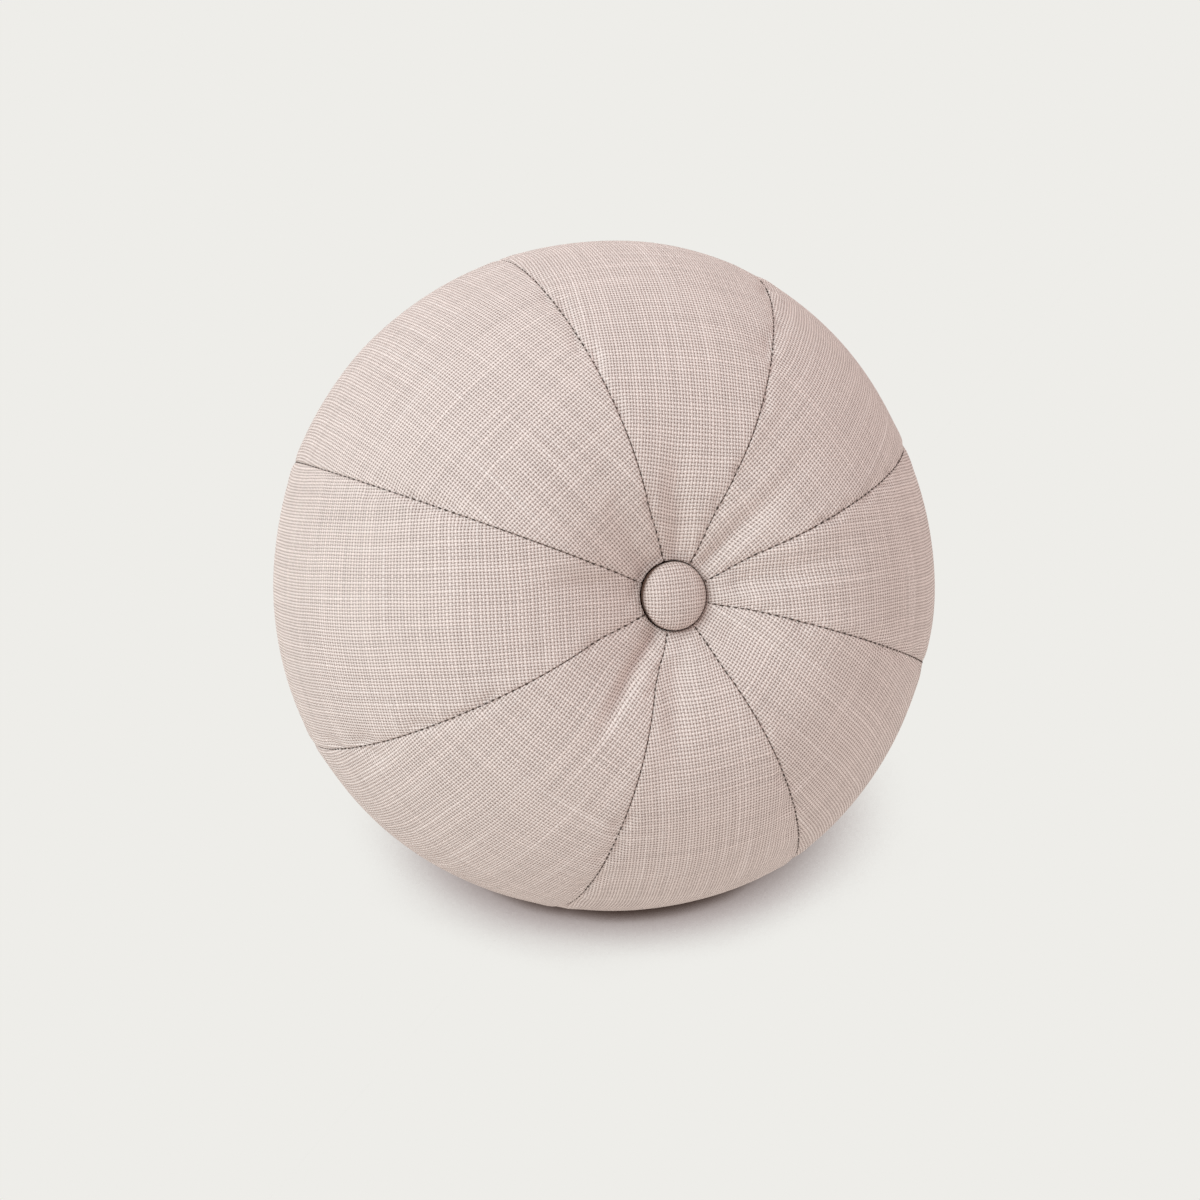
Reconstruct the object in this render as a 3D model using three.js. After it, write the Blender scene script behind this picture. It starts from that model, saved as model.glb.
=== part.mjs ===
// Ball cushion: eight sewn cloth gores filled to a slightly flattened ball, tufted by two covered buttons.
// Units are millimetres, +Z is up, and the origin is the middle of the box's underside.
// The ball rests on a small flat spot with its front button facing -Y, tipped up from the horizontal.

import * as THREE from 'three';
import { mergeVertices } from 'three/addons/utils/BufferGeometryUtils.js';

// The filled ball, measured from its centre
const girthRadius = 150;
const poleRadius = 129;
const tuftDepth = 29;
const tuftWidth = 53;
const pinchDepth = 5;
const pinchWidth = 21;

// How it sits: the front button's axis above the horizontal, and how far the filling gives at the floor
const buttonTilt = 26.95;
const floorGive = 12;
const floorBlend = 3;

// The covered buttons and the flat seat that each one pulls into the cloth
const buttonRadius = 15;
const buttonHeight = 8;
const buttonRimHeight = 2;
const buttonBackRadius = 13;
const buttonRoundness = 0.8;
const seatRadius = 13.5;
const fitGap = 0.3;

// A sewn channel's depth and the distance over which the cloth rises out of it
const channelDepth = 1.5;
const channelWidth = 4;

// Facets: rows across each button's seat, across the tuft around it and from there to the girth, and the
// columns and rows of a button
const rowsAcrossSeat = 2;
const rowsAcrossTuft = 11;
const rowsAcrossSide = 10;
const tuftEdgeLatitude = 58;
const buttonColumns = 32;
const buttonRows = 8;

// Seams in turn around the ball, seen from the front button: azimuth in degrees from +X towards the top,
// at the girth and where it reaches the front button, and how far the girth there departs from a circle
const seams = [
  { girth: -159.0, button: -158.4, fullness: 1.0 },
  { girth: -108.4, button: -109.8, fullness: 0.7 },
  { girth: -66.6, button: -62.5, fullness: 4.2 },
  { girth: -24.4, button: -18.9, fullness: 0 },
  { girth: 16.5, button: 15.9, fullness: -4.0 },
  { girth: 56.4, button: 53.5, fullness: 0 },
  { girth: 101.2, button: 97.8, fullness: -1.5 },
  { girth: 151.6, button: 150.7, fullness: -1.2 },
];

// Main creases drawn in by the front button: azimuth in degrees and radius at the inner and outer end,
// with the depth of the fold and its half width
const creases = [
  { innerAzimuth: -137, outerAzimuth: -130, innerRadius: 15, outerRadius: 68, depth: 2.8, width: 4.5 },
  { innerAzimuth: 174, outerAzimuth: 168, innerRadius: 15, outerRadius: 60, depth: 1.6, width: 7 },
  { innerAzimuth: 124, outerAzimuth: 121, innerRadius: 15, outerRadius: 55, depth: 2.0, width: 9 },
  { innerAzimuth: 81, outerAzimuth: 85, innerRadius: 15, outerRadius: 74, depth: 1.6, width: 5.5 },
  { innerAzimuth: 44, outerAzimuth: 37, innerRadius: 15, outerRadius: 72, depth: 1.8, width: 4.5 },
  { innerAzimuth: 51, outerAzimuth: 48, innerRadius: 52, outerRadius: 94, depth: 0.9, width: 5 },
  { innerAzimuth: 1, outerAzimuth: 6, innerRadius: 26, outerRadius: 78, depth: 1.3, width: 6 },
  { innerAzimuth: -42, outerAzimuth: -35, innerRadius: 24, outerRadius: 66, depth: 1.0, width: 6 },
  { innerAzimuth: -92, outerAzimuth: -95, innerRadius: 18, outerRadius: 66, depth: 1.4, width: 6 },
];

// Shares of a crease's length over which it deepens, and from which it begins to die out
const creaseRise = 0.15;
const creaseFade = 0.45;
const creaseEnd = 1.1;

// Where the columns of one gore lie between its two seams, closer together beside the sewing
const goreColumns = [0, 0.045, 0.13, 0.25, 0.38, 0.5, 0.62, 0.75, 0.87, 0.955];

const radians = THREE.MathUtils.degToRad;
const clothColor = 0xd4c4bc;
const buttonColor = 0xcab8b0;
const clothFinish = { roughness: 0.92, metalness: 0 };

const seatLatitude = Math.acos(seatRadius / girthRadius);

// The ball's own frame, seen from the front button: right, up, and out along the button's axis
const tilt = radians(buttonTilt);
const sideways = new THREE.Vector3(1, 0, 0);
const upward = new THREE.Vector3(0, Math.sin(tilt), Math.cos(tilt));
const outward = new THREE.Vector3(0, -Math.cos(tilt), Math.sin(tilt));

function bell(distance, width) {
  return Math.exp(-((distance / width) ** 2));
}

// Distance of the tufted surface from the ball's middle plane, at a latitude in radians. It is flat under
// the button, inside the seat's radius.
function crownHeight(latitude) {
  const steepness = Math.min(Math.abs(latitude), seatLatitude);
  const radius = girthRadius * Math.cos(steepness);
  const tuft = tuftDepth * bell(radius, tuftWidth) + pinchDepth * bell(radius, pinchWidth);
  return poleRadius * Math.sin(steepness) - tuft;
}

const seatHeight = crownHeight(Math.PI / 2);

// One column of facets: its two seams and its place between them
function columnPlace(column) {
  const perGore = goreColumns.length;
  const gore = Math.floor(column / perGore) % seams.length;
  const wrap = gore === seams.length - 1 ? 360 : 0;
  const share = goreColumns[column % perGore];
  return { from: seams[gore], to: seams[(gore + 1) % seams.length], wrap, share };
}

// Rows of facets from the front pole to the back pole, as latitudes in radians
function rowLatitudes() {
  const tuftEdge = radians(tuftEdgeLatitude);
  const front = [];
  for (let i = 0; i < rowsAcrossSeat; i++) {
    front.push(THREE.MathUtils.lerp(Math.PI / 2, seatLatitude, i / rowsAcrossSeat));
  }
  for (let i = 0; i < rowsAcrossTuft; i++) {
    front.push(THREE.MathUtils.lerp(seatLatitude, tuftEdge, i / rowsAcrossTuft));
  }
  for (let i = 0; i < rowsAcrossSide; i++) {
    front.push(THREE.MathUtils.lerp(tuftEdge, 0, i / rowsAcrossSide));
  }
  const back = front.map((latitude) => -latitude).reverse();
  return [...front, 0, ...back];
}

// How deep the creases are at a point given by its radius and azimuth around the front button
function creaseDepth(radius, azimuth) {
  let depth = 0;
  for (const crease of creases) {
    const along = (radius - crease.innerRadius) / (crease.outerRadius - crease.innerRadius);
    const bend = THREE.MathUtils.clamp(along, 0, 1);
    const middle = THREE.MathUtils.lerp(crease.innerAzimuth, crease.outerAzimuth, bend);
    const turn = THREE.MathUtils.euclideanModulo(azimuth - middle + 180, 360) - 180;
    const fadeIn = THREE.MathUtils.smoothstep(along, 0, creaseRise);
    const fadeOut = 1 - THREE.MathUtils.smoothstep(along, creaseFade, creaseEnd);
    depth += crease.depth * fadeIn * fadeOut * bell(radians(turn) * radius, crease.width);
  }
  return depth;
}

// A point of the cover in the ball's own frame, written with the axes above
function coverPoint(place, latitude) {
  const { from, to, wrap, share } = place;
  const towardsButton = latitude > 0 ? 1 - Math.cos(latitude) : 0;
  const fromAzimuth = THREE.MathUtils.lerp(from.girth, from.button, towardsButton);
  const toAzimuth = THREE.MathUtils.lerp(to.girth, to.button, towardsButton) + wrap;
  const azimuth = THREE.MathUtils.lerp(fromAzimuth, toAzimuth, share);

  const ease = share * share * (3 - 2 * share);
  const fullness = THREE.MathUtils.lerp(from.fullness, to.fullness, ease) * Math.cos(latitude) ** 2;
  const radius = girthRadius * Math.cos(latitude);

  const goreWidth = radians(toAzimuth - fromAzimuth) * radius;
  const toSeam = Math.min(share, 1 - share) * goreWidth;
  const clearOfSeat = THREE.MathUtils.smoothstep(radius, seatRadius, seatRadius + channelWidth);
  const channel = channelDepth * Math.exp(-toSeam / channelWidth) * clearOfSeat;
  const crease = latitude > 0 ? creaseDepth(radius, azimuth) : 0;
  const sunk = channel + crease;

  const reach = radius * (1 + fullness / girthRadius) - sunk * Math.cos(latitude);
  const height = Math.sign(latitude) * crownHeight(latitude) - sunk * Math.sin(latitude);
  return new THREE.Vector3()
    .addScaledVector(sideways, reach * Math.cos(radians(azimuth)))
    .addScaledVector(upward, reach * Math.sin(radians(azimuth)))
    .addScaledVector(outward, height);
}

// Presses a height against the floor: flat below it, unchanged well above it, and smooth between
function pressed(height, floor) {
  const above = height - floor;
  if (above <= -floorBlend) return floor;
  if (above >= floorBlend) return height;
  return floor + (above + floorBlend) ** 2 / (4 * floorBlend);
}

function cushionGeometry() {
  const latitudes = rowLatitudes();
  const columns = goreColumns.length * seams.length;
  const rows = latitudes.length - 1;
  const geometry = new THREE.SphereGeometry(girthRadius, columns, rows);
  const { position } = geometry.attributes;

  const points = [];
  for (let i = 0; i < position.count; i++) {
    const column = (i % (columns + 1)) % columns;
    const row = Math.floor(i / (columns + 1));
    points.push(coverPoint(columnPlace(column), latitudes[row]));
  }
  const lowest = Math.min(...points.map((point) => point.z));
  points.forEach((point, i) => {
    position.setXYZ(i, point.x, point.y, pressed(point.z, lowest + floorGive));
  });

  geometry.deleteAttribute('uv');
  geometry.deleteAttribute('normal');
  return mergeVertices(geometry, 0.001);
}

// A covered button: flat back, small rim and a soft dome, turned around +Y with its back at zero
function buttonGeometry() {
  const outline = [new THREE.Vector2(0, 0), new THREE.Vector2(buttonBackRadius, 0)];
  for (let i = 0; i <= buttonRows; i++) {
    const angle = (i / buttonRows) * (Math.PI / 2);
    const radius = i === buttonRows ? 0 : buttonRadius * Math.cos(angle) ** buttonRoundness;
    const height = buttonRimHeight + (buttonHeight - buttonRimHeight) * Math.sin(angle) ** buttonRoundness;
    outline.push(new THREE.Vector2(radius, height));
  }
  return new THREE.LatheGeometry(outline, buttonColumns);
}

function button(name, side) {
  const material = new THREE.MeshStandardMaterial({ color: buttonColor, ...clothFinish });
  const mesh = new THREE.Mesh(buttonGeometry(), material);
  mesh.name = name;
  const axis = outward.clone().multiplyScalar(side);
  mesh.quaternion.setFromUnitVectors(new THREE.Vector3(0, 1, 0), axis);
  mesh.position.copy(axis).multiplyScalar(seatHeight + fitGap);
  return mesh;
}

const clothMaterial = new THREE.MeshStandardMaterial({ color: clothColor, ...clothFinish });
const cushion = new THREE.Mesh(cushionGeometry(), clothMaterial);
cushion.name = 'cushion';

const ballCushion = new THREE.Group();
ballCushion.add(cushion, button('button_front', 1), button('button_back', -1));

// The origin moves to the middle of the whole object's underside
const box = new THREE.Box3().setFromObject(ballCushion, true);
const middle = box.getCenter(new THREE.Vector3());
ballCushion.position.set(-middle.x, -middle.y, -box.min.z);

export default ballCushion;
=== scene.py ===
# Ball cushion of eight sewn gores, tufted by a covered button at each pole, resting on a pale lit table.
# Lengths are in metres. The ball's own frame is seen from the front button: sideways, upward, outward.

import functools
import math
import random

import bmesh
import bpy
from mathutils import Matrix, Vector, kdtree, noise


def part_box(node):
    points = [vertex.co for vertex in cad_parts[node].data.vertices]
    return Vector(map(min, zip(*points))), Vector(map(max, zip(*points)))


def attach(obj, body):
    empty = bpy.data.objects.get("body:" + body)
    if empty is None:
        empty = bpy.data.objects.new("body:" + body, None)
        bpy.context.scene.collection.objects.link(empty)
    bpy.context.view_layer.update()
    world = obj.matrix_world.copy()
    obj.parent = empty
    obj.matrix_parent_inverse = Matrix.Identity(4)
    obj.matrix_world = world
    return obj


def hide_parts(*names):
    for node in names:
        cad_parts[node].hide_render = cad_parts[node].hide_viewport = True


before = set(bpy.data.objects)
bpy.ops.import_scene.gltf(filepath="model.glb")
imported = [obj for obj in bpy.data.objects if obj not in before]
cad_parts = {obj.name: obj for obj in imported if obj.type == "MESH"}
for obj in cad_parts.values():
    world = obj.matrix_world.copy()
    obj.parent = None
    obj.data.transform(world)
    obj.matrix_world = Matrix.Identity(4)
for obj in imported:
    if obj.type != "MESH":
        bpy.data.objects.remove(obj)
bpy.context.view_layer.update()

MM = 0.001

# The filled ball, as in the part's source but for a deeper and wider pinch at the buttons
GIRTH_RADIUS = 150 * MM
POLE_RADIUS = 129 * MM
TUFT_DEPTH = 29 * MM
TUFT_WIDTH = 53 * MM
PINCH_DEPTH = 8 * MM
PINCH_WIDTH = 27 * MM
BUTTON_TILT = math.radians(26.95)
FLOOR_BLEND = 3 * MM

# The covered buttons, and the seats that they pull into the cloth. The painted shade of its tuft on a
# button's side fades out between two heights, given as shares of the button's own height.
BUTTON_RADIUS = 14.6 * MM
BUTTON_HEIGHT = 11.8 * MM
BUTTON_COLUMNS = 64
BUTTON_SHADED_HEIGHTS = (0.3, 0.5)
SEAT_RADIUS = 13.5 * MM
FIT_GAP = 0.3 * MM

# A button's profile, from the middle of its back to the top of its dome, as shares of its radius and height
BUTTON_PROFILE = [
    {"radius": 0.0, "height": 0.0},
    {"radius": 0.85, "height": 0.0},
    {"radius": 0.97, "height": 0.04},
    {"radius": 1.0, "height": 0.12},
    {"radius": 1.0, "height": 0.28},
    {"radius": 1.0, "height": 0.42},
    {"radius": 0.985, "height": 0.53},
    {"radius": 0.95, "height": 0.63},
    {"radius": 0.88, "height": 0.735},
    {"radius": 0.77, "height": 0.83},
    {"radius": 0.62, "height": 0.91},
    {"radius": 0.42, "height": 0.965},
    {"radius": 0.2, "height": 0.992},
    {"radius": 0.0, "height": 1.0},
]

# The front button is pulled to the right and down in its tuft, and the cloth within reach goes with it.
# It is a little narrower than it is high, faces slightly to one side, and sits just off its seat's middle.
FRONT_PULL = (3.05 * MM, -2.3 * MM)
PULL_REACH = 42 * MM
FRONT_SQUEEZE = 0.035
FRONT_BUTTON_TURN = math.radians(8)
FRONT_BUTTON_SHIFT = -0.4 * MM

# The well that the cloth makes around a button's edge: its depth, the radii between which its wall stands,
# and a fainter shade around it, as a share of the shade in the well, with the radius where that ends
WELL_DEPTH = 5.2 * MM
WELL_FOOT_RADIUS = 14.6 * MM
WELL_RIM_RADIUS = 15.4 * MM
WELL_SHADE = 0.2
WELL_SHADE_RADIUS = 19.5 * MM

# Sewn channels: how far out from the foot of a button's well they are fully deep, a soft dip, and a narrow
# cleft between the folded edges, with its share of the shade in the well
SEAM_RISE = 4 * MM
DIP_DEPTH = 0.3 * MM
DIP_WIDTH = 4 * MM
CLEFT_DEPTH = 0.7 * MM
CLEFT_WIDTH = 0.3 * MM
SEAM_SHADE = 0.32

# The stitches that close the seams, nearly up to the buttons. Pitch, length and thickness vary by a factor
# within a range. Slant is the most that a stitch leans off its seam, for each unit along it, and lift is
# where a stitch's middle lies, as a share of the cleft's depth above its bottom. A seam's direction is
# taken between two latitudes a small step apart.
STITCH_PITCH = 3.3 * MM
PITCH_RANGE = (0.92, 1.08)
STITCH_LENGTH = 2.0 * MM
LENGTH_RANGE = (0.7, 1.1)
STITCH_THICKNESS = 0.62 * MM
THICKNESS_RANGE = (0.8, 1.2)
STITCH_SLANT = 0.1
STITCH_LIFT = 0.5
STITCH_SEED = 8
STITCHED_LATITUDE = math.radians(84)
LATITUDE_STEP = 0.004

# Facets of the cover: columns in each gore, rows from pole to pole, and how far each is drawn together
# beside the sewing and around the buttons. Points nearer than a merging distance become one.
GORE_COLUMNS = 40
GORE_ROWS = 300
COLUMN_CROWDING = 0.9
ROW_CROWDING = 0.75
COVER_MERGING = 0.002 * MM
BUTTON_MERGING = 0.01 * MM

# Seams in turn around the ball: azimuth in degrees at the girth and at the front button, from sideways
# towards upward, and how far the girth there departs from a circle
SEAMS = [
    {"girth": -159.0, "button": -158.4, "fullness": 1.0 * MM},
    {"girth": -108.4, "button": -109.8, "fullness": 0.7 * MM},
    {"girth": -66.6, "button": -62.5, "fullness": 4.2 * MM},
    {"girth": -24.4, "button": -18.9, "fullness": 0.0},
    {"girth": 16.5, "button": 15.9, "fullness": -4.0 * MM},
    {"girth": 56.4, "button": 53.5, "fullness": 0.0},
    {"girth": 101.2, "button": 97.8, "fullness": -1.5 * MM},
    {"girth": 151.6, "button": 150.7, "fullness": -1.2 * MM},
]

# Each gore is cut from its own place in the cloth, so that its slubs differ from the next one's
GORE_SPREAD = 0.4137
GORE_SHIFT = 0.0713

# Creases around the front button: azimuth in degrees and radius at the inner and outer end, depth of the
# fold and its half width on the side of the smaller and of the larger azimuth, all lengths in millimetres.
# A depth below zero is a ridge beside a fold.
CREASES = [
    {"inner_az": -126, "outer_az": -128, "inner": 12, "outer": 74, "depth": 4.8, "width": 3.6, "lee": 3.4},
    {"inner_az": -138, "outer_az": -138, "inner": 12, "outer": 66, "depth": 0.6, "width": 6.0, "lee": 6.0},
    {"inner_az": 163, "outer_az": 166, "inner": 12, "outer": 62, "depth": 3.2, "width": 6.0, "lee": 6.0},
    {"inner_az": 138, "outer_az": 135, "inner": 12, "outer": 52, "depth": 2.2, "width": 6.0, "lee": 6.0},
    {"inner_az": 120, "outer_az": 118, "inner": 12, "outer": 60, "depth": 2.8, "width": 7.5, "lee": 7.5},
    {"inner_az": 80, "outer_az": 82, "inner": 12, "outer": 74, "depth": 3.0, "width": 5.5, "lee": 5.5},
    {"inner_az": 64, "outer_az": 64, "inner": 16, "outer": 60, "depth": -0.8, "width": 5.0, "lee": 5.0},
    {"inner_az": 35, "outer_az": 36, "inner": 11, "outer": 82, "depth": 2.6, "width": 4.0, "lee": 4.5},
    {"inner_az": 26, "outer_az": 26, "inner": 13, "outer": 52, "depth": -0.8, "width": 3.5, "lee": 3.5},
    {"inner_az": 51, "outer_az": 48, "inner": 52, "outer": 94, "depth": 0.9, "width": 5.0, "lee": 5.0},
    {"inner_az": 0, "outer_az": 4, "inner": 20, "outer": 90, "depth": 2.6, "width": 6.0, "lee": 6.0},
    {"inner_az": -11, "outer_az": -10, "inner": 14, "outer": 55, "depth": -1.0, "width": 4.5, "lee": 4.5},
    {"inner_az": -42, "outer_az": -35, "inner": 24, "outer": 66, "depth": 1.4, "width": 6.0, "lee": 6.0},
    {"inner_az": -78, "outer_az": -77, "inner": 16, "outer": 60, "depth": -1.2, "width": 5.5, "lee": 5.5},
    {"inner_az": -97, "outer_az": -98, "inner": 24, "outer": 78, "depth": 2.4, "width": 6.0, "lee": 6.0},
]

# Shares of a crease's length by which it is fully deep, from which it dies out, and at which it is gone
CREASE_RISE = 0.15
CREASE_FADE = 0.45
CREASE_END = 1.1

# Unevenness of the filling felt through the cloth
LUMP_DEPTH = 0.5 * MM
LUMP_SIZE = 45 * MM

# Cloth simulation of the filled cover: its coarser facets, how long and how finely it runs, the cloth's
# stiffness, the filling's push, how much wider than its seams the cloth was cut, how far a point may move,
# and what is held still around the buttons and on the table. The gores start a little slimmer, so that
# they swell to their true shape.
SETTLING_COLUMNS = 14
SETTLING_ROWS = 110
SETTLING_FRAMES = 12
SETTLING_QUALITY = 6
SETTLING_STIFFNESS = 0.1
SETTLING_PRESSURE = 20.0
SETTLING_SLACK = 0.008
SETTLING_REACH = 1.6 * MM
HELD_RADIUS = 17 * MM
HELD_HEIGHT = 1 * MM
SLIMMER = 0.7 * MM
SLIMMER_WIDTH = 12 * MM

# The woven cloth: from thread to thread across and along a gore, a thread's width as a share of that, how
# high the threads stand, and how the buttons' cloth is turned
PITCH_ACROSS = 1.37 * MM
PITCH_ALONG = 1.56 * MM
THREAD_WIDTH = 0.84
WEAVE_RELIEF = 0.8 * MM
BUTTON_WEAVE_TURN = math.radians(5)

# Colours of the cloth: its threads, those on the buttons, the painted shade in the gaps between them, the
# slubs, and the painted shade deep in the wells, the seams' clefts and the buttons' lower sides, where
# little light reaches the threads
THREAD_COLOR = (0.89, 0.757, 0.696, 1)
BUTTON_THREAD_COLOR = (0.865, 0.73, 0.67, 1)
GAP_SHADE_COLOR = (0.385, 0.268, 0.228, 1)
SLUB_COLOR = (0.94, 0.822, 0.765, 1)
PAINTED_SHADE_COLOR = (0.115, 0.055, 0.034, 1)

# The two sets of threads: the direction in which each is counted, the noise values between which a slub
# swells, and where each set reads its spacing, bends, slubs and tones in the noise
THREAD_SETS = [
    {"axis": 0, "slub_range": (0.61, 0.85), "spacing": 17.3, "bend": 31.7, "slub": 5.1, "tone": 2.3},
    {"axis": 1, "slub_range": (0.67, 0.91), "spacing": 34.6, "bend": 63.4, "slub": 10.2, "tone": 3.3},
]

# Unevenness of the threads, counted in pitches: how far their spacing and their bends move them, and how
# quickly these change from thread to thread and along a thread
SPACING_REACH = 0.4
SPACING_RATE = 0.4
BEND_REACH = 1.6
BEND_RATE = 0.035
BEND_RATE_ACROSS = 0.6

# How far apart in the noise one thread lies from the next, and how quickly the noise changes along it
SLUB_NOISE = {"step": 3.71, "rate": 0.015, "detail": 0.0}
TONE_NOISE = {"step": 5.37, "rate": 0.03, "detail": 1.0}

# What a slub and a thread's tone add to its width, a thread's mean height and how far it rises over and
# sinks under the others, the heights between which its colour replaces the painted shade of the gaps, how
# much of a slub's colour shows, and the brightness and roughness of a thread, each at a tone of 0 and as
# the rise to 1
SLUB_SWELL = 0.15
TONE_SWELL = 0.25
MEAN_HEIGHT = 0.7
WAVE_HEIGHT = 0.3
GAP_TO_THREAD = (0.05, 0.95)
SLUB_SHOWING = 0.65
BRIGHTNESS = {"start": 0.84, "rise": 0.32}
ROUGHNESS = {"start": 0.82, "rise": 0.2}

CLOTH_FINISH = {
    "Sheen Weight": 0.12,
    "Sheen Tint": (1.0, 0.84, 0.76, 1),
    "Sheen Roughness": 0.5,
    "Specular IOR Level": 0.2,
}

# The seams' thread, dark partly of its own and partly as painted shade of the gaps that the stitches pull
# open, from its darkest to its palest, and how fine its grain is
SEAM_THREAD_AND_SHADE_COLORS = ((0.03, 0.018, 0.012, 1), (0.09, 0.06, 0.045, 1))
SEAM_THREAD_GRAIN = 400.0
SEAM_THREAD_FINISH = {"Roughness": 0.8}

# Camera: angles of the view, distance from the ball's middle in girth radii, the ball's place in the
# 1200 by 1200 picture, and how many picture pixels one girth radius takes
VIEW_AZIMUTH = math.radians(-17.1)
VIEW_ELEVATION = math.radians(33)
VIEW_DISTANCE = 9.5 * GIRTH_RADIUS
PICTURE_SIZE = 1200
BALL_PIXEL = (606.8, 574.6)
GIRTH_PIXELS = 333.6
SENSOR_WIDTH = 36.0

# The table, and its glowing colour with the ball's painted shadow in it, from deep shadow to full light
TABLE_HALF_WIDTH = 12.0
TABLE_GLOW_AND_PAINTED_SHADOW = [
    {"light": 0.0, "color": (0.030, 0.015, 0.010, 1)},
    {"light": 0.15, "color": (0.168, 0.130, 0.117, 1)},
    {"light": 0.49, "color": (0.475, 0.420, 0.410, 1)},
    {"light": 1.0, "color": (0.855, 0.847, 0.815, 1)},
]
TABLE_FINISH = {
    "Emission Strength": 1.0,
    "Base Color": (0, 0, 0, 1),
    "Roughness": 1.0,
    "Specular IOR Level": 0.0,
}

# The ball's shadow on the table: how far away the ball still dims it, how open the table is where the
# shadow begins, how fast it deepens and how it leans. The contact under the ball: how near the cloth must
# be to close off the table, and between which shares of openness it darkens.
SHADOW_REACH = 1.0
SHADOW_SAMPLES = 16
SHADOW_EDGE = 0.52
SHADOW_FALL = 1.8
SHADOW_LEAN = (-0.18, -0.18, 1.0)
CONTACT_REACH = 8 * MM
CONTACT_SAMPLES = 8
CONTACT_RANGE = (0.0, 0.8)

# The soft room, a little brighter at the back, and the softbox high in front on the left. The room's rise
# and the softbox's place are given along the view: to the right, up, and towards the camera.
ROOM_LEVEL = (0.955, 0.88, 0.882)
ROOM_RISE = (0.007, -0.045, -0.27)
SOFTBOX_COLOR = (0.78, 1.0, 1.05)
SOFTBOX_STRENGTH = 1.65
SOFTBOX_SPREAD = math.radians(36)
SOFTBOX_FROM = (-0.62, 0.41, 0.66)

SIDEWAYS = Vector((1, 0, 0))
UPWARD = Vector((0, math.sin(BUTTON_TILT), math.cos(BUTTON_TILT)))
OUTWARD = Vector((0, -math.cos(BUTTON_TILT), math.sin(BUTTON_TILT)))
SEAT_LATITUDE = math.acos(SEAT_RADIUS / GIRTH_RADIUS)


def box_middle(node):
    low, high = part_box(node)
    return (low + high) / 2


BALL_MIDDLE = (box_middle("button_front") + box_middle("button_back")) / 2


# Shape of the cover

def bell(distance, width):
    return math.exp(-((distance / width) ** 2))


def mix(a, b, share):
    return a + (b - a) * share


def smoothstep(value, low, high):
    share = min(max((value - low) / (high - low), 0.0), 1.0)
    return share * share * (3 - 2 * share)


@functools.lru_cache(maxsize=None)
def crown_height(latitude):
    """Distance of the tufted surface from the ball's middle plane; flat under the button."""
    steepness = min(abs(latitude), SEAT_LATITUDE)
    radius = GIRTH_RADIUS * math.cos(steepness)
    tuft = TUFT_DEPTH * bell(radius, TUFT_WIDTH) + PINCH_DEPTH * bell(radius, PINCH_WIDTH)
    well = WELL_DEPTH * (1 - smoothstep(radius, WELL_FOOT_RADIUS, WELL_RIM_RADIUS))
    return POLE_RADIUS * math.sin(steepness) - tuft - well


def profile_lengths(steps=900):
    """Length of the profile from the girth to each of a row of even latitudes up to the pole."""
    lengths = [0.0]
    before = (GIRTH_RADIUS, 0.0)
    for i in range(1, steps + 1):
        latitude = i / steps * math.pi / 2
        here = (GIRTH_RADIUS * math.cos(latitude), crown_height(latitude))
        lengths.append(lengths[-1] + math.dist(before, here))
        before = here
    return lengths


PROFILE = profile_lengths()
PROFILE_RADIUS = PROFILE[-1] / (math.pi / 2)


@functools.lru_cache(maxsize=None)
def profile_length(latitude):
    place = abs(latitude) / (math.pi / 2) * (len(PROFILE) - 1)
    below = min(int(place), len(PROFILE) - 2)
    return mix(PROFILE[below], PROFILE[below + 1], place - below)


def latitude_at(along, halvings=24):
    """Latitude at a length along the profile, counted from the girth and positive to the front."""
    low, high = 0.0, math.pi / 2
    for _ in range(halvings):
        middle = (low + high) / 2
        if profile_length(middle) < abs(along):
            low = middle
        else:
            high = middle
    return math.copysign(low, along)


@functools.lru_cache(maxsize=None)
def seam_azimuth(index, latitude):
    """Azimuth of a seam in radians; on the front half it leans towards its place at the button."""
    seam = SEAMS[index % len(SEAMS)]
    towards_button = 1 - math.cos(latitude) if latitude > 0 else 0.0
    turn = 360 if index >= len(SEAMS) else 0
    return math.radians(mix(seam["girth"], seam["button"], towards_button) + turn)


def crease_depth(radius, azimuth):
    depth = 0.0
    for crease in CREASES:
        along = (radius / MM - crease["inner"]) / (crease["outer"] - crease["inner"])
        if not 0 < along < CREASE_END:
            continue
        middle = math.radians(mix(crease["inner_az"], crease["outer_az"], min(along, 1.0)))
        turn = math.remainder(azimuth - middle, 2 * math.pi)
        fade = smoothstep(along, 0, CREASE_RISE) * (1 - smoothstep(along, CREASE_FADE, CREASE_END))
        side = "lee" if turn > 0 else "width"
        depth += crease["depth"] * MM * fade * bell(turn * radius, crease[side] * MM)
    return depth


def cover_frame(gore, share, latitude):
    """Azimuth, radius and distance to the nearer seam at a place on a gore."""
    start = seam_azimuth(gore, latitude)
    end = seam_azimuth(gore + 1, latitude)
    radius = GIRTH_RADIUS * math.cos(latitude)
    to_seam = min(share, 1 - share) * (end - start) * radius
    return mix(start, end, share), radius, to_seam


def front_pull():
    return SIDEWAYS * FRONT_PULL[0] + UPWARD * FRONT_PULL[1]


def pressed(height):
    """A height above the table: zero where the ball bears on it, unchanged well above it."""
    if height <= -FLOOR_BLEND:
        return 0.0
    if height >= FLOOR_BLEND:
        return height
    return (height + FLOOR_BLEND) ** 2 / (4 * FLOOR_BLEND)


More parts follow.
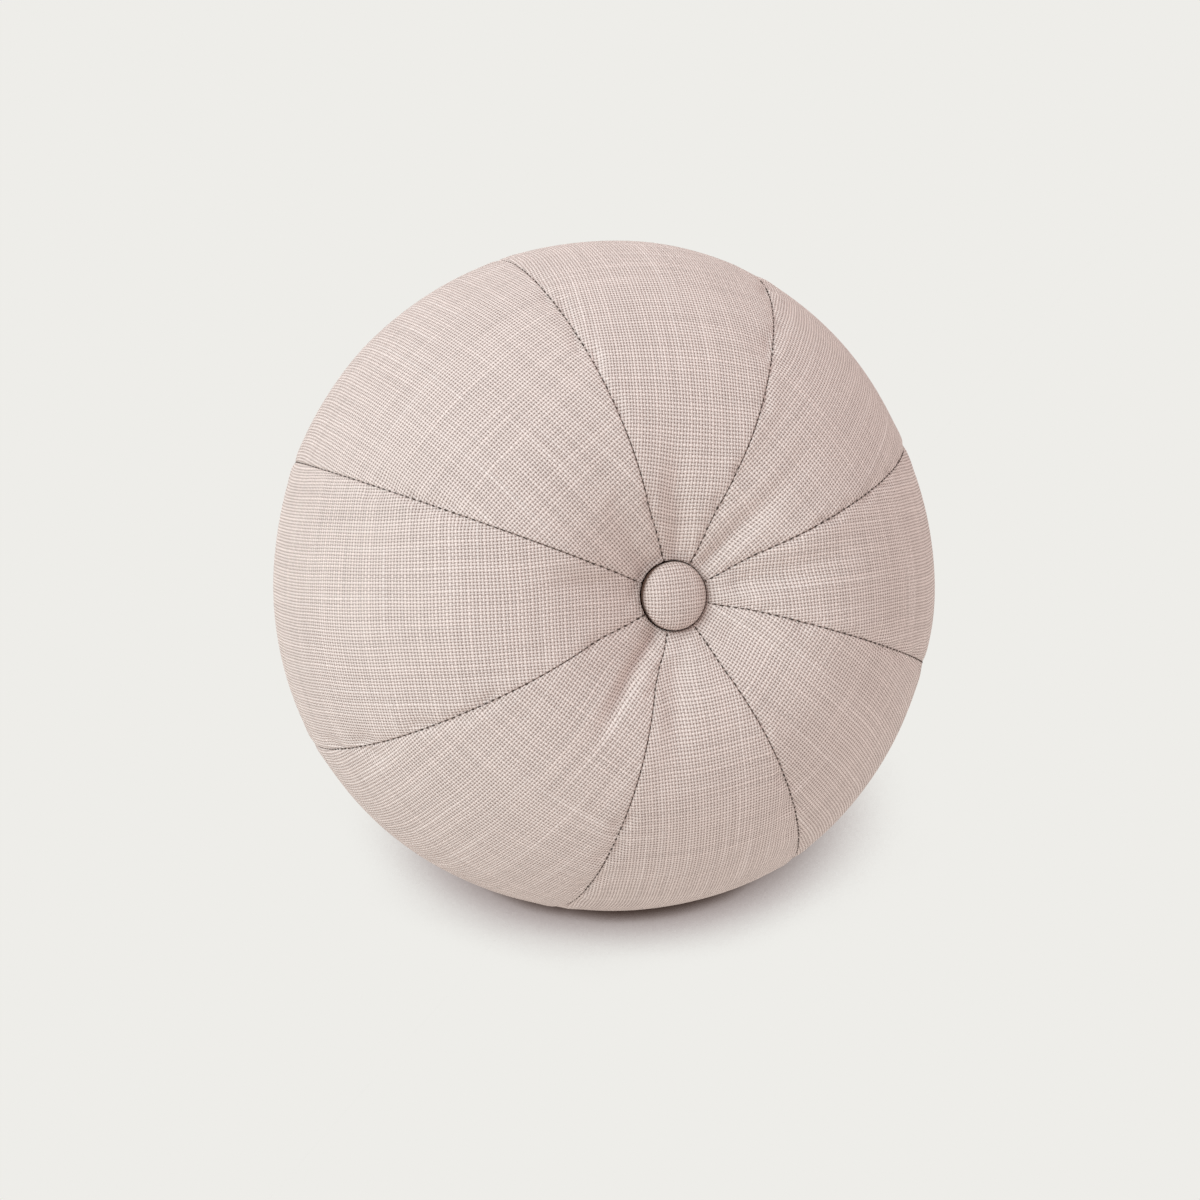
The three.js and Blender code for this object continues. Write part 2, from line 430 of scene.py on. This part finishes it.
def cover_point(gore, share, latitude, swell=0.0):
    """A point of the cover in the frame; swell is how far the simulation lifts it off the filling."""
    azimuth, radius, to_seam = cover_frame(gore, share, latitude)
    here = SEAMS[gore % len(SEAMS)]["fullness"]
    there = SEAMS[(gore + 1) % len(SEAMS)]["fullness"]
    fullness = mix(here, there, smoothstep(share, 0, 1)) * math.cos(latitude) ** 2

    clear_of_seat = smoothstep(radius, SEAT_RADIUS, WELL_FOOT_RADIUS + SEAM_RISE)
    channel = DIP_DEPTH * math.exp(-to_seam / DIP_WIDTH) + CLEFT_DEPTH * bell(to_seam, CLEFT_WIDTH)
    sunk = channel * clear_of_seat
    if latitude > 0:
        sunk += crease_depth(radius, azimuth)

    reach = radius * (1 + fullness / GIRTH_RADIUS)
    height = math.copysign(crown_height(latitude), latitude)
    across = SIDEWAYS * math.cos(azimuth) + UPWARD * math.sin(azimuth)
    smooth = across * reach + OUTWARD * height
    if latitude > 0:
        squeeze = SIDEWAYS * (smooth.dot(SIDEWAYS) * FRONT_SQUEEZE)
        smooth += (front_pull() - squeeze) * (1 - smoothstep(radius, SEAT_RADIUS, PULL_REACH))
    sunk += LUMP_DEPTH * noise.noise(smooth / LUMP_SIZE) * clear_of_seat
    sunk += SLIMMER * smoothstep(to_seam, 0, SLIMMER_WIDTH) * clear_of_seat - swell

    inward = across * math.cos(latitude) + OUTWARD * math.sin(latitude)
    point = BALL_MIDDLE + smooth - inward * sunk
    point.z = pressed(point.z)
    return point


def painted_shade_share(gore, share, latitude):
    """How much painted shade the cloth gets: in the well, around it, and in a seam's cleft."""
    _, radius, to_seam = cover_frame(gore, share, latitude)
    well = 1 - smoothstep(radius, WELL_FOOT_RADIUS, WELL_RIM_RADIUS)
    around = WELL_SHADE * (1 - smoothstep(radius, WELL_RIM_RADIUS, WELL_SHADE_RADIUS))
    return max(well, around, SEAM_SHADE * bell(to_seam, CLEFT_WIDTH))


def cloth_place(gore, share, latitude):
    """Place in the flat cloth, in metres: across the gore, and along its middle line."""
    azimuth, radius, _ = cover_frame(gore, share, latitude)
    middle = (seam_azimuth(gore, latitude) + seam_azimuth(gore + 1, latitude)) / 2
    rise = math.copysign(profile_length(latitude), latitude) / PROFILE_RADIUS
    turn = azimuth - middle
    narrow = PROFILE_RADIUS * math.cos(rise)
    widening = radius / narrow if narrow > MM else 1.0
    across = math.asin(math.cos(rise) * math.sin(turn)) * PROFILE_RADIUS * widening
    along = math.atan2(math.sin(rise), math.cos(rise) * math.cos(turn)) * PROFILE_RADIUS
    return across + GORE_SPREAD * gore, along + GORE_SHIFT * gore


# Pieces

def finished_object(name, bm, smooth=True):
    mesh = bpy.data.meshes.new(name)
    bm.to_mesh(mesh)
    bm.free()
    if smooth:
        mesh.shade_smooth()
    piece = bpy.data.objects.new(name, mesh)
    bpy.context.scene.collection.objects.link(piece)
    return piece


def drawn_together(share, crowding):
    """Spreads even shares from 0 to 1 so that they lie closer together at both ends."""
    return share - crowding * math.sin(2 * math.pi * share) / (2 * math.pi)


@functools.lru_cache(maxsize=None)
def row_latitude(height):
    """Latitude of a row of facets, for an even height from -1 to 1; rows crowd around the poles."""
    share = abs(height) + ROW_CROWDING * math.sin(math.pi * abs(height)) / math.pi
    return math.copysign(min(share, 1.0) * math.pi / 2, height)


def flat_gores(columns, rows):
    """A flat grid for each gore, from -1 to 1 both ways, at a height that is the gore's number."""
    bm = bmesh.new()
    for gore in range(len(SEAMS)):
        bmesh.ops.create_grid(bm, x_segments=columns, y_segments=rows, size=1.0,
                              matrix=Matrix.Translation((0, 0, gore)))
    return bm


def grid_place(across, along):
    """Share of the gore's width and latitude for a place on the flat grid, both from -1 to 1."""
    return drawn_together((across + 1) / 2, COLUMN_CROWDING), row_latitude(along)


def sewn_together(bm):
    bmesh.ops.remove_doubles(bm, verts=bm.verts, dist=COVER_MERGING)
    bmesh.ops.recalc_face_normals(bm, faces=bm.faces)


def settling_grid(points):
    """Finds the points of the sewn coarse cover, in rows in each gore, and those that are held still."""
    finder = kdtree.KDTree(len(points))
    for index, point in enumerate(points):
        finder.insert(point, index)
    finder.balance()

    gores = []
    held = set()
    for gore in range(len(SEAMS)):
        rows = []
        for j in range(SETTLING_ROWS + 1):
            row = []
            for i in range(SETTLING_COLUMNS + 1):
                share, latitude = grid_place(2 * i / SETTLING_COLUMNS - 1, 2 * j / SETTLING_ROWS - 1)
                point = cover_point(gore, share, latitude)
                index = finder.find(point)[1]
                row.append(index)
                near_button = GIRTH_RADIUS * math.cos(latitude) < HELD_RADIUS
                if i in (0, SETTLING_COLUMNS) or near_button or point.z < HELD_HEIGHT:
                    held.add(index)
            rows.append(row)
        gores.append(rows)
    return gores, held


def settled_mesh(cloth, held):
    """Runs the cloth simulation, in which the filling pushes and the held points stay where they are."""
    cloth.vertex_groups.new(name="held").add(list(held), 1.0, "REPLACE")
    modifier = cloth.modifiers.new("cloth", "CLOTH")
    modifier.point_cache.frame_end = SETTLING_FRAMES
    settings = modifier.settings
    settings.quality = SETTLING_QUALITY
    settings.bending_stiffness = SETTLING_STIFFNESS
    settings.use_pressure = True
    settings.uniform_pressure_force = SETTLING_PRESSURE
    settings.shrink_min = -SETTLING_SLACK
    settings.vertex_group_mass = "held"
    settings.effector_weights.gravity = 0.0
    for step in range(1, SETTLING_FRAMES + 1):
        bpy.context.scene.frame_set(step)
    return cloth.evaluated_get(bpy.context.evaluated_depsgraph_get()).data


def settled_swelling():
    """Simulates the filled cover as cloth held at its seams, the buttons and the table.

    Gives, for each gore, rows of heights by which the cloth swells or sinks along its normal.
    """
    bm = flat_gores(SETTLING_COLUMNS, SETTLING_ROWS)
    for vert in bm.verts:
        vert.co = cover_point(round(vert.co.z), *grid_place(vert.co.x, vert.co.y))
    sewn_together(bm)
    cloth = finished_object("settling_cloth", bm)
    start = [(vert.co.copy(), vert.normal.copy()) for vert in cloth.data.vertices]
    gores, held = settling_grid([point for point, _ in start])

    lifts = []
    for vert, (point, normal) in zip(settled_mesh(cloth, held).vertices, start):
        lift = (vert.co - point).dot(normal)
        lifts.append(SETTLING_REACH * math.tanh(lift / SETTLING_REACH))
    bpy.context.scene.frame_set(1)
    bpy.data.objects.remove(cloth)
    return [[[lifts[index] for index in row] for row in rows] for rows in gores]


def spline(values, place):
    """Smooth curve through evenly spaced values, at a place counted in steps."""
    last = len(values) - 1
    at = min(int(place), last - 1)
    t = place - at
    a, b, c, d = values[max(at - 1, 0)], values[at], values[at + 1], values[min(at + 2, last)]
    return b + t / 2 * (c - a + t * (2 * a - 5 * b + 4 * c - d + t * (3 * b - a - 3 * c + d)))


def swell_at(rows, across, along):
    """How far the settled cloth stands off the filling at a place on the flat grid, both from -1 to 1."""
    down = (along + 1) / 2 * SETTLING_ROWS
    first = min(max(int(down) - 1, 0), SETTLING_ROWS - 3)
    place = (across + 1) / 2 * SETTLING_COLUMNS
    column = [spline(row, place) for row in rows[first:first + 4]]
    return spline(column, down - first)


def sewn_cover():
    """Eight flat gores, shaped over the filling, settled, and joined to their neighbours at the seams."""
    swelling = settled_swelling()
    bm = flat_gores(GORE_COLUMNS, GORE_ROWS)
    cloth_uv = bm.loops.layers.uv.new("cloth")
    painted_shade = bm.verts.layers.float.new("painted_shade")
    places = {}
    for vert in bm.verts:
        gore = round(vert.co.z)
        share, latitude = grid_place(vert.co.x, vert.co.y)
        swell = swell_at(swelling[gore], vert.co.x, vert.co.y) if swelling else 0.0
        vert[painted_shade] = painted_shade_share(gore, share, latitude)
        places[vert] = cloth_place(gore, share, latitude)
        vert.co = cover_point(gore, share, latitude, swell)
    for face in bm.faces:
        for loop in face.loops:
            loop[cloth_uv].uv = places[loop.vert]
    sewn_together(bm)
    return finished_object("sewn_cover", bm)


def covered_button(name, side):
    """A domed button with cloth stretched over it, turned from its profile."""
    axis = OUTWARD * side
    seat = BALL_MIDDLE + axis * (crown_height(math.pi / 2) + FIT_GAP)
    if side > 0:
        seat += front_pull() + SIDEWAYS * FRONT_BUTTON_SHIFT
    bm = bmesh.new()
    verts = [bm.verts.new((row["radius"] * BUTTON_RADIUS, 0, row["height"] * BUTTON_HEIGHT))
             for row in BUTTON_PROFILE]
    edges = [bm.edges.new(pair) for pair in zip(verts, verts[1:])]
    bmesh.ops.spin(bm, geom=verts + edges, cent=(0, 0, 0), axis=(0, 0, 1), angle=2 * math.pi,
                   steps=BUTTON_COLUMNS, use_merge=True)
    bmesh.ops.remove_doubles(bm, verts=bm.verts, dist=BUTTON_MERGING)
    bmesh.ops.recalc_face_normals(bm, faces=bm.faces)
    # The button's lower side gets painted shade, as if deep in its tuft
    painted_shade = bm.verts.layers.float.new("painted_shade")
    for vert in bm.verts:
        vert[painted_shade] = 1 - smoothstep(vert.co.z / BUTTON_HEIGHT, *BUTTON_SHADED_HEIGHTS)
    cloth_uv = bm.loops.layers.uv.new("cloth")
    for face in bm.faces:
        for loop in face.loops:
            across = loop.vert.co.xy
            reach = math.hypot(across.length, BUTTON_HEIGHT - loop.vert.co.z)
            loop[cloth_uv].uv = across.normalized() * reach if across.length > 0 else (0, 0)
    turn = Matrix((SIDEWAYS * side, UPWARD, axis)).transposed().to_4x4()
    if side > 0:
        turn = turn @ Matrix.Rotation(FRONT_BUTTON_TURN, 4, "Y")
        turn = turn @ Matrix.Diagonal((1 - FRONT_SQUEEZE, 1, 1, 1))
    bmesh.ops.transform(bm, matrix=Matrix.Translation(seat) @ turn, verts=bm.verts)
    piece = finished_object(name, bm)
    dome = piece.modifiers.new("dome", "SUBSURF")
    dome.levels = 1
    dome.render_levels = 1
    return piece


def stitch_mesh():
    bm = bmesh.new()
    bmesh.ops.create_uvsphere(bm, u_segments=6, v_segments=5, radius=1.0)
    mesh = bpy.data.meshes.new("stitch")
    bm.to_mesh(mesh)
    bm.free()
    return mesh


def seam_stitches_and_shade():
    """The thread of each seam, a short dark bar at every stitch whose darkness is partly painted shade, but
    not where the ball bears.
    """
    stitch = stitch_mesh()
    bm = bmesh.new()
    rng = random.Random(STITCH_SEED)
    reach = profile_length(STITCHED_LATITUDE)
    for index in range(len(SEAMS)):
        along = -reach
        while along < reach:
            along += STITCH_PITCH * rng.uniform(*PITCH_RANGE)
            latitude = latitude_at(along)
            here = cover_point(index, 0.0, latitude)
            ahead = cover_point(index, 0.0, latitude + LATITUDE_STEP) - here
            if here.z <= FLOOR_BLEND or ahead.length == 0:
                continue
            out = (here - BALL_MIDDLE).normalized()
            slant = out.cross(ahead).normalized() * rng.uniform(-STITCH_SLANT, STITCH_SLANT)
            line = (ahead.normalized() + slant).normalized()
            side = out.cross(line).normalized()
            length = STITCH_LENGTH * rng.uniform(*LENGTH_RANGE)
            thick = STITCH_THICKNESS * rng.uniform(*THICKNESS_RANGE)
            axes = (line * length / 2, side * thick / 2, line.cross(side) * thick / 2)
            place = Matrix(axes).transposed().to_4x4()
            place.translation = here + out * CLEFT_DEPTH * STITCH_LIFT
            placed = stitch.copy()
            placed.transform(place)
            bm.from_mesh(placed)
            bpy.data.meshes.remove(placed)
    bpy.data.meshes.remove(stitch)
    bmesh.ops.recalc_face_normals(bm, faces=bm.faces)
    return finished_object("seam_stitches_and_shade", bm)


# Materials

class Wires:
    """Makes and joins the nodes of one tree."""

    def __init__(self, tree):
        self.tree = tree

    def node(self, kind, **settings):
        made = self.tree.nodes.new(kind)
        for key, value in settings.items():
            setattr(made, key, value)
        return made

    def put(self, socket, value):
        """Joins an output to a socket, or gives the socket a value."""
        if isinstance(value, bpy.types.NodeSocket):
            self.tree.links.new(value, socket)
        else:
            socket.default_value = value

    def math(self, operation, *values, clamp=False):
        made = self.node("ShaderNodeMath", operation=operation, use_clamp=clamp)
        for socket, value in zip(made.inputs, values):
            self.put(socket, value)
        return made.outputs[0]

    def line(self, start, value, rise):
        """A start, and a rise for each unit of a value."""
        return self.math("ADD", start, self.math("MULTIPLY", value, rise))

    def vector(self, x, y, z=0.0):
        made = self.node("ShaderNodeCombineXYZ")
        for socket, value in zip(made.inputs, (x, y, z)):
            self.put(socket, value)
        return made.outputs[0]

    def noise(self, vector, scale, detail):
        made = self.node("ShaderNodeTexNoise")
        self.put(made.inputs["Vector"], vector)
        self.put(made.inputs["Scale"], scale)
        self.put(made.inputs["Detail"], detail)
        return made.outputs["Fac"]

    def ramp(self, value, low, high):
        made = self.node("ShaderNodeMapRange", interpolation_type="SMOOTHSTEP")
        self.put(made.inputs["Value"], value)
        self.put(made.inputs["From Min"], low)
        self.put(made.inputs["From Max"], high)
        return made.outputs["Result"]

    def openness(self, distance, samples, normal):
        """Share of the directions around a normal in which nothing lies nearer than a distance."""
        made = self.node("ShaderNodeAmbientOcclusion", samples=samples)
        self.put(made.inputs["Distance"], distance)
        self.put(made.inputs["Normal"], normal)
        return made.outputs["AO"]

    def blend(self, share, low, high):
        """Mixes two colours; the node's colour sockets come after those for numbers and vectors."""
        made = self.node("ShaderNodeMix", data_type="RGBA")
        self.put(made.inputs["Factor"], share)
        self.put(made.inputs[6], low)
        self.put(made.inputs[7], high)
        return made.outputs[2]


def new_material(name, finish):
    """A material with the given finish, the wires of its tree, and its shader."""
    material = bpy.data.materials.new(name)
    material.use_nodes = True
    shader = material.node_tree.nodes["Principled BSDF"]
    for key, value in finish.items():
        shader.inputs[key].default_value = value
    return material, Wires(material.node_tree), shader


def add_socket(group, name, kind, into="INPUT", value=None):
    made = group.interface.new_socket(name=name, in_out=into, socket_type=kind)
    if value is not None:
        made.default_value = value


def thread_noise(w, number, along, kind, seed):
    """Noise of each thread's own, which changes slowly along it."""
    apart = w.math("MULTIPLY", number, kind["step"])
    place = w.vector(apart, w.math("MULTIPLY", along, kind["rate"]), seed)
    return w.noise(place, 1.0, kind["detail"])


def thread_set(w, flat, thread_width, row):
    """One set of parallel threads: how far across them a place is, and the form and tone of its thread."""
    axis = row["axis"]
    along = flat[1 - axis]
    spacing = w.noise(w.vector(flat[axis], row["spacing"]), SPACING_RATE, detail=0.0)
    lean = w.vector(w.math("MULTIPLY", flat[axis], BEND_RATE_ACROSS), along, row["bend"])
    bend = w.noise(lean, BEND_RATE, detail=1.0)
    across = w.line(flat[axis], spacing, SPACING_REACH)
    across = w.line(across, bend, BEND_REACH)
    number = w.math("ROUND", across)
    slub = w.ramp(thread_noise(w, number, along, SLUB_NOISE, row["slub"]), *row["slub_range"])
    tone = thread_noise(w, number, along, TONE_NOISE, row["tone"])
    width = w.line(thread_width, slub, SLUB_SWELL)
    width = w.line(width, w.math("SUBTRACT", tone, 0.5), TONE_SWELL)
    off = w.math("DIVIDE", w.math("MULTIPLY", w.math("SUBTRACT", across, number), 2.0), width)
    body = w.math("SQRT", w.math("SUBTRACT", 1.0, w.math("MULTIPLY", off, off), clamp=True))
    sign = w.math("COSINE", w.math("MULTIPLY", number, math.pi))
    return {"across": across, "body": body, "slub": slub, "tone": tone, "sign": sign}


def plain_weave_group():
    """Two sets of threads, over and under by turns, uneven in thickness, with slubs in both and painted
    shade in the gaps between them.
    """
    group = bpy.data.node_groups.new("plain_weave", "ShaderNodeTree")
    add_socket(group, "Cloth", "NodeSocketVector")
    add_socket(group, "Pitch Across", "NodeSocketFloat", value=PITCH_ACROSS)
    add_socket(group, "Pitch Along", "NodeSocketFloat", value=PITCH_ALONG)
    add_socket(group, "Thread Width", "NodeSocketFloat", value=THREAD_WIDTH)
    add_socket(group, "Thread Color", "NodeSocketColor", value=THREAD_COLOR)
    add_socket(group, "Gap Shade Color", "NodeSocketColor", value=GAP_SHADE_COLOR)
    add_socket(group, "Slub Color", "NodeSocketColor", value=SLUB_COLOR)
    add_socket(group, "Color", "NodeSocketColor", "OUTPUT")
    add_socket(group, "Height", "NodeSocketFloat", "OUTPUT")
    add_socket(group, "Roughness", "NodeSocketFloat", "OUTPUT")

    w = Wires(group)
    given = w.node("NodeGroupInput").outputs
    result = w.node("NodeGroupOutput").inputs
    split = w.node("ShaderNodeSeparateXYZ")
    w.put(split.inputs[0], given["Cloth"])
    flat = [w.math("DIVIDE", split.outputs[0], given["Pitch Across"]),
            w.math("DIVIDE", split.outputs[1], given["Pitch Along"])]
    threads = [thread_set(w, flat, given["Thread Width"], row) for row in THREAD_SETS]

    heights = []
    for axis, over in ((0, 1.0), (1, -1.0)):
        one, other = threads[axis], threads[1 - axis]
        wave = w.math("COSINE", w.math("MULTIPLY", other["across"], math.pi))
        wave = w.math("MULTIPLY", wave, one["sign"])
        heights.append(w.math("MULTIPLY", one["body"], w.line(MEAN_HEIGHT, wave, WAVE_HEIGHT * over)))
    height = w.math("MAXIMUM", heights[0], heights[1])
    first_on_top = w.math("GREATER_THAN", heights[0], heights[1])
    second_on_top = w.math("SUBTRACT", 1.0, first_on_top)

    def of_top(key):
        return w.math("ADD", w.math("MULTIPLY", threads[0][key], first_on_top),
                      w.math("MULTIPLY", threads[1][key], second_on_top))

    # The gaps between the threads are painted darker as shade, and the threads' own colour takes over as
    # they rise
    lit = w.ramp(height, *GAP_TO_THREAD)
    color = w.blend(lit, given["Gap Shade Color"], given["Thread Color"])
    slub = w.math("MULTIPLY", of_top("slub"), w.math("MULTIPLY", lit, SLUB_SHOWING))
    shade = w.node("ShaderNodeHueSaturation")
    w.put(shade.inputs["Value"], w.line(BRIGHTNESS["start"], of_top("tone"), BRIGHTNESS["rise"]))
    w.put(shade.inputs["Color"], w.blend(slub, color, given["Slub Color"]))
    w.put(result["Color"], shade.outputs[0])
    w.put(result["Height"], height)
    w.put(result["Roughness"], w.line(ROUGHNESS["start"], of_top("tone"), ROUGHNESS["rise"]))
    return group


def woven_material(name, group, thread_color, turn=0.0):
    material, w, shader = new_material(name, CLOTH_FINISH)
    place = w.node("ShaderNodeUVMap", uv_map="cloth")
    mapping = w.node("ShaderNodeMapping")
    mapping.inputs["Rotation"].default_value[2] = turn
    w.put(mapping.inputs["Vector"], place.outputs[0])
    weave = w.node("ShaderNodeGroup", node_tree=group)
    w.put(weave.inputs["Cloth"], mapping.outputs[0])
    w.put(weave.inputs["Thread Color"], thread_color)
    bump = w.node("ShaderNodeBump")
    w.put(bump.inputs["Strength"], 1.0)
    w.put(bump.inputs["Distance"], WEAVE_RELIEF)
    w.put(bump.inputs["Height"], weave.outputs["Height"])
    # Painted shade darkens the weave towards a dark brown in the wells, the seams' clefts and the buttons'
    # lower sides
    painted_shade = w.node("ShaderNodeAttribute", attribute_name="painted_shade")
    w.put(shader.inputs["Base Color"], w.blend(painted_shade.outputs["Fac"], weave.outputs["Color"], PAINTED_SHADE_COLOR))
    w.put(shader.inputs["Roughness"], weave.outputs["Roughness"])
    w.put(shader.inputs["Normal"], bump.outputs[0])
    return material


def thread_material():
    material, w, shader = new_material("seam_thread_and_shade", SEAM_THREAD_FINISH)
    place = w.node("ShaderNodeTexCoord").outputs["Object"]
    grain = w.noise(place, SEAM_THREAD_GRAIN, detail=2.0)
    # The thread's dark colour is partly its own and partly painted shade of the gaps at the stitches
    w.put(shader.inputs["Base Color"], w.blend(grain, *SEAM_THREAD_AND_SHADE_COLORS))
    return material


# Setting

def view_axes():
    toward = Vector((math.cos(VIEW_ELEVATION) * math.sin(VIEW_AZIMUTH),
                     -math.cos(VIEW_ELEVATION) * math.cos(VIEW_AZIMUTH), math.sin(VIEW_ELEVATION)))
    right = Vector((0, 0, 1)).cross(toward).normalized()
    return right, toward.cross(right), toward


def along_view(parts):
    """A direction in the frame, from its parts to the right, up and towards the camera."""
    right, up, toward = view_axes()
    return right * parts[0] + up * parts[1] + toward * parts[2]


def add_camera():
    right, up, toward = view_axes()
    pixel = GIRTH_RADIUS / GIRTH_PIXELS
    aim = BALL_MIDDLE - right * (BALL_PIXEL[0] - PICTURE_SIZE / 2) * pixel
    aim = aim - up * (PICTURE_SIZE / 2 - BALL_PIXEL[1]) * pixel
    camera = bpy.data.cameras.new("camera")
    camera.sensor_width = SENSOR_WIDTH
    camera.lens = SENSOR_WIDTH * GIRTH_PIXELS * VIEW_DISTANCE / GIRTH_RADIUS / PICTURE_SIZE
    holder = bpy.data.objects.new("camera", camera)
    bpy.context.scene.collection.objects.link(holder)
    turned = Matrix((right, up, toward)).transposed().to_4x4()
    turned.translation = aim + toward * VIEW_DISTANCE
    holder.matrix_world = turned
    bpy.context.scene.camera = holder


def add_floor():
    """A pale table that glows evenly, with the ball's shadow painted into its colour where the ball closes
    off the room around it.
    """
    bm = bmesh.new()
    bmesh.ops.create_grid(bm, x_segments=1, y_segments=1, size=TABLE_HALF_WIDTH)
    floor = finished_object("floor", bm, smooth=False)
    material, w, shader = new_material("table_with_painted_shadow", TABLE_FINISH)
    # The ball's shadow and the contact shade are painted from how open each point of the table is
    room = w.openness(SHADOW_REACH, SHADOW_SAMPLES, w.vector(*SHADOW_LEAN))
    contact = w.openness(CONTACT_REACH, CONTACT_SAMPLES, w.vector(0, 0, 1))
    share = w.math("DIVIDE", room, SHADOW_EDGE, clamp=True)
    share = w.math("POWER", share, SHADOW_FALL)
    glow_with_painted_shadow = w.node("ShaderNodeValToRGB")
    w.put(glow_with_painted_shadow.inputs["Fac"], w.math("MULTIPLY", share, w.ramp(contact, *CONTACT_RANGE)))
    stops = glow_with_painted_shadow.color_ramp.elements
    while len(stops) < len(TABLE_GLOW_AND_PAINTED_SHADOW):
        stops.new(1.0)
    for stop, row in zip(stops, TABLE_GLOW_AND_PAINTED_SHADOW):
        stop.position = row["light"]
        stop.color = row["color"]
    w.put(shader.inputs["Emission Color"], glow_with_painted_shadow.outputs["Color"])
    floor.data.materials.append(material)


def add_room():
    world = bpy.data.worlds.new("soft_room")
    world.use_nodes = True
    w = Wires(world.node_tree)
    towards = w.node("ShaderNodeTexCoord").outputs["Generated"]
    facing = w.node("ShaderNodeVectorMath", operation="DOT_PRODUCT")
    w.put(facing.inputs[0], towards)
    w.put(facing.inputs[1], along_view(ROOM_RISE))
    level = w.node("ShaderNodeVectorMath", operation="ADD")
    w.put(level.inputs[0], facing.outputs["Value"])
    w.put(level.inputs[1], ROOM_LEVEL)
    w.put(world.node_tree.nodes["Background"].inputs["Color"], level.outputs["Vector"])
    bpy.context.scene.world = world
    bpy.context.scene.view_settings.view_transform = "Standard"


def add_softbox():
    softbox = bpy.data.lights.new("softbox", "SUN")
    softbox.energy = SOFTBOX_STRENGTH
    softbox.color = SOFTBOX_COLOR
    softbox.angle = SOFTBOX_SPREAD
    holder = bpy.data.objects.new("softbox", softbox)
    bpy.context.scene.collection.objects.link(holder)
    holder.rotation_mode = "QUATERNION"
    holder.rotation_quaternion = along_view(SOFTBOX_FROM).to_track_quat("Z", "Y")


add_camera()
add_floor()
add_room()
add_softbox()

weave = plain_weave_group()
cover_cloth = woven_material("cover_cloth", weave, THREAD_COLOR)
button_cloth = woven_material("button_cloth", weave, BUTTON_THREAD_COLOR, BUTTON_WEAVE_TURN)
thread = thread_material()

cover = sewn_cover()
cover.data.materials.append(cover_cloth)
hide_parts("cushion")
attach(cover, "root")

for name, side in (("front", 1), ("back", -1)):
    button = covered_button(f"covered_button_{name}", side)
    button.data.materials.append(button_cloth)
    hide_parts(f"button_{name}")
    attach(button, "root")

stitches = seam_stitches_and_shade()
stitches.data.materials.append(thread)
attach(stitches, "root")
